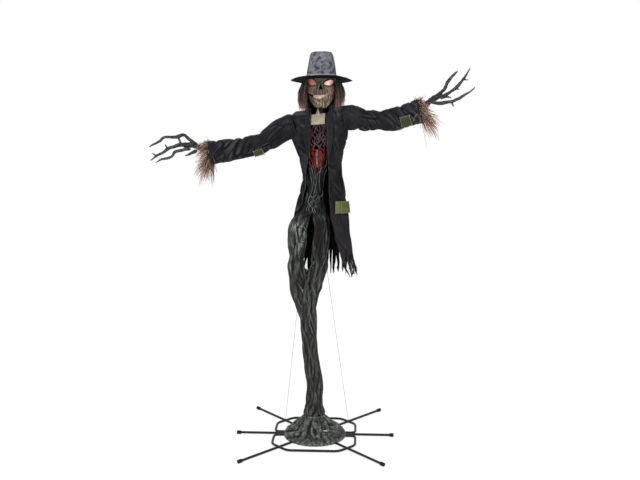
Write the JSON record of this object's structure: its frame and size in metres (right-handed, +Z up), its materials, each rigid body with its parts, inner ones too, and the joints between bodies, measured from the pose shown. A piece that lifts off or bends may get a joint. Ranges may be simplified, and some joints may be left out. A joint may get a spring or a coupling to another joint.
{
  "type": "animated scarecrow figure",
  "caption": "Free-standing animated scarecrow on a tube base: root legs, vine cage torso, long torn coat, lit mask with opening jaw, turning head, raising arms, branch hands, brimmed hat.",
  "frame": {"origin": "on the floor under the middle of the base, on the hub bottom plate's lower face", "axes": "+Z up, the figure faces -Y, +X is the figure's left"},
  "size_m": [2.0042, 0.9452, 2.44],
  "materials": {
    "black_steel": "satin black paint",
    "cap_rubber": "matt black",
    "tether_line": "braided pale grey line",
    "trunk_bark": "moulded bark, dry-brushed grey-green",
    "root_bark": "moulded roots, lighter grey on the ridges",
    "vine_purple": "moulded vines, purple-brown",
    "mound_roots": "moulded roots, grey-green",
    "sensor_plastic": "milky sensor window",
    "box_plastic": "fine texture, black",
    "red_lens": "translucent red, lit from behind",
    "coat_cloth": "worn charcoal weave with frayed edges",
    "patch_cloth": "olive-yellow cloth with stitches",
    "burlap": "loose cream burlap",
    "zinc_steel": "zinc plated",
    "straw": "dyed straw, tan to red-brown",
    "hair_straw": "dark brown straw",
    "hand_bark": "moulded branches, charcoal-green",
    "mask_skin": "moulded ribbed skin, olive-yellow and brown",
    "eye_glow": "milky, lit from behind",
    "eye_dull": "milky, lit dimly",
    "mouth_glow": "milky, lit from behind",
    "hat_felt": "mottled grey felt with a black underside"
  },
  "bodies": {
    "stand": {"base_frame_front": "black_steel", "base_frame_rear": "black_steel", "side_leg_left": "black_steel", "leg_cap_side_left": "cap_rubber", "corner_leg_front_left": "black_steel", "leg_cap_front_left": "cap_rubber", "corner_leg_rear_left": "black_steel", "leg_cap_rear_left": "cap_rubber", "side_leg_right": "black_steel", "leg_cap_side_right": "cap_rubber", "corner_leg_front_right": "black_steel", "leg_cap_front_right": "cap_rubber", "corner_leg_rear_right": "black_steel", "leg_cap_rear_right": "cap_rubber", "hub_bottom_plate": "black_steel", "hub_top_plate": "black_steel", "mast_lower": "black_steel", "mast_fork": "black_steel", "tether_left": "tether_line", "tether_right": "tether_line", "trunk_lower": "trunk_bark", "trunk_fork": "trunk_bark", "thigh_right": "root_bark", "thigh_left": "root_bark", "spine_tube": "black_steel", "pelvis_roots": "root_bark", "torso_cage": "vine_purple", "chest_lens": "red_lens", "chest_lamp": "box_plastic", "coat_body": "coat_cloth", "hip_patch": "patch_cloth", "neck_bib": "burlap", "shoulder_yoke": "black_steel", "shoulder_gearmotor_right": "box_plastic", "shoulder_gearmotor_left": "box_plastic", "neck_gearmotor": "box_plastic", "ground_mound": "mound_roots", "motion_sensor": "sensor_plastic", "control_box": "box_plastic"},
    "head": {"head_frame": "zinc_steel", "face_shell": "mask_skin", "skull_rear": "mask_skin", "eye_lens_left": "eye_glow", "eye_lens_right": "eye_dull", "mouth_lens": "mouth_glow", "jaw_gearmotor": "box_plastic", "hat": "hat_felt", "hair_left": "hair_straw", "hair_right": "hair_straw"},
    "jaw": {"jaw_shell": "mask_skin"},
    "left_arm": {"arm_tube_left": "zinc_steel", "sleeve_left": "coat_cloth", "straw_cuff_left": "straw", "hand_left": "hand_bark"},
    "right_arm": {"arm_tube_right": "zinc_steel", "sleeve_right": "coat_cloth", "straw_cuff_right": "straw", "hand_right": "hand_bark"},
    "button": {"mode_button": "cap_rubber"}
  },
  "joints": [
    {"name": "head_turn", "type": "hinge", "parent": "stand", "child": "head", "pos_m": [0.042, 0, 2.1], "axis": [0, 0, 1], "range_deg": [-20, 20]},
    {"name": "jaw_open", "type": "hinge", "parent": "head", "child": "jaw", "pos_m": [0.042, 0.018, 2.206], "axis": [1, 0, 0], "range_deg": [0, 10]},
    {"name": "left_arm_raise", "type": "hinge", "parent": "stand", "child": "left_arm", "pos_m": [0.205, 0, 2.045], "axis": [0, -1, 0], "range_deg": [-8, 8]},
    {"name": "right_arm_raise", "type": "hinge", "parent": "stand", "child": "right_arm", "pos_m": [-0.15, 0, 1.992], "axis": [0, 1, 0], "range_deg": [-8, 8]},
    {"name": "mode_press", "type": "slide", "parent": "stand", "child": "button", "axis": [0, -1, 0], "range_m": [0, 0.0025], "stiffness_N_per_m": 600}
  ]
}
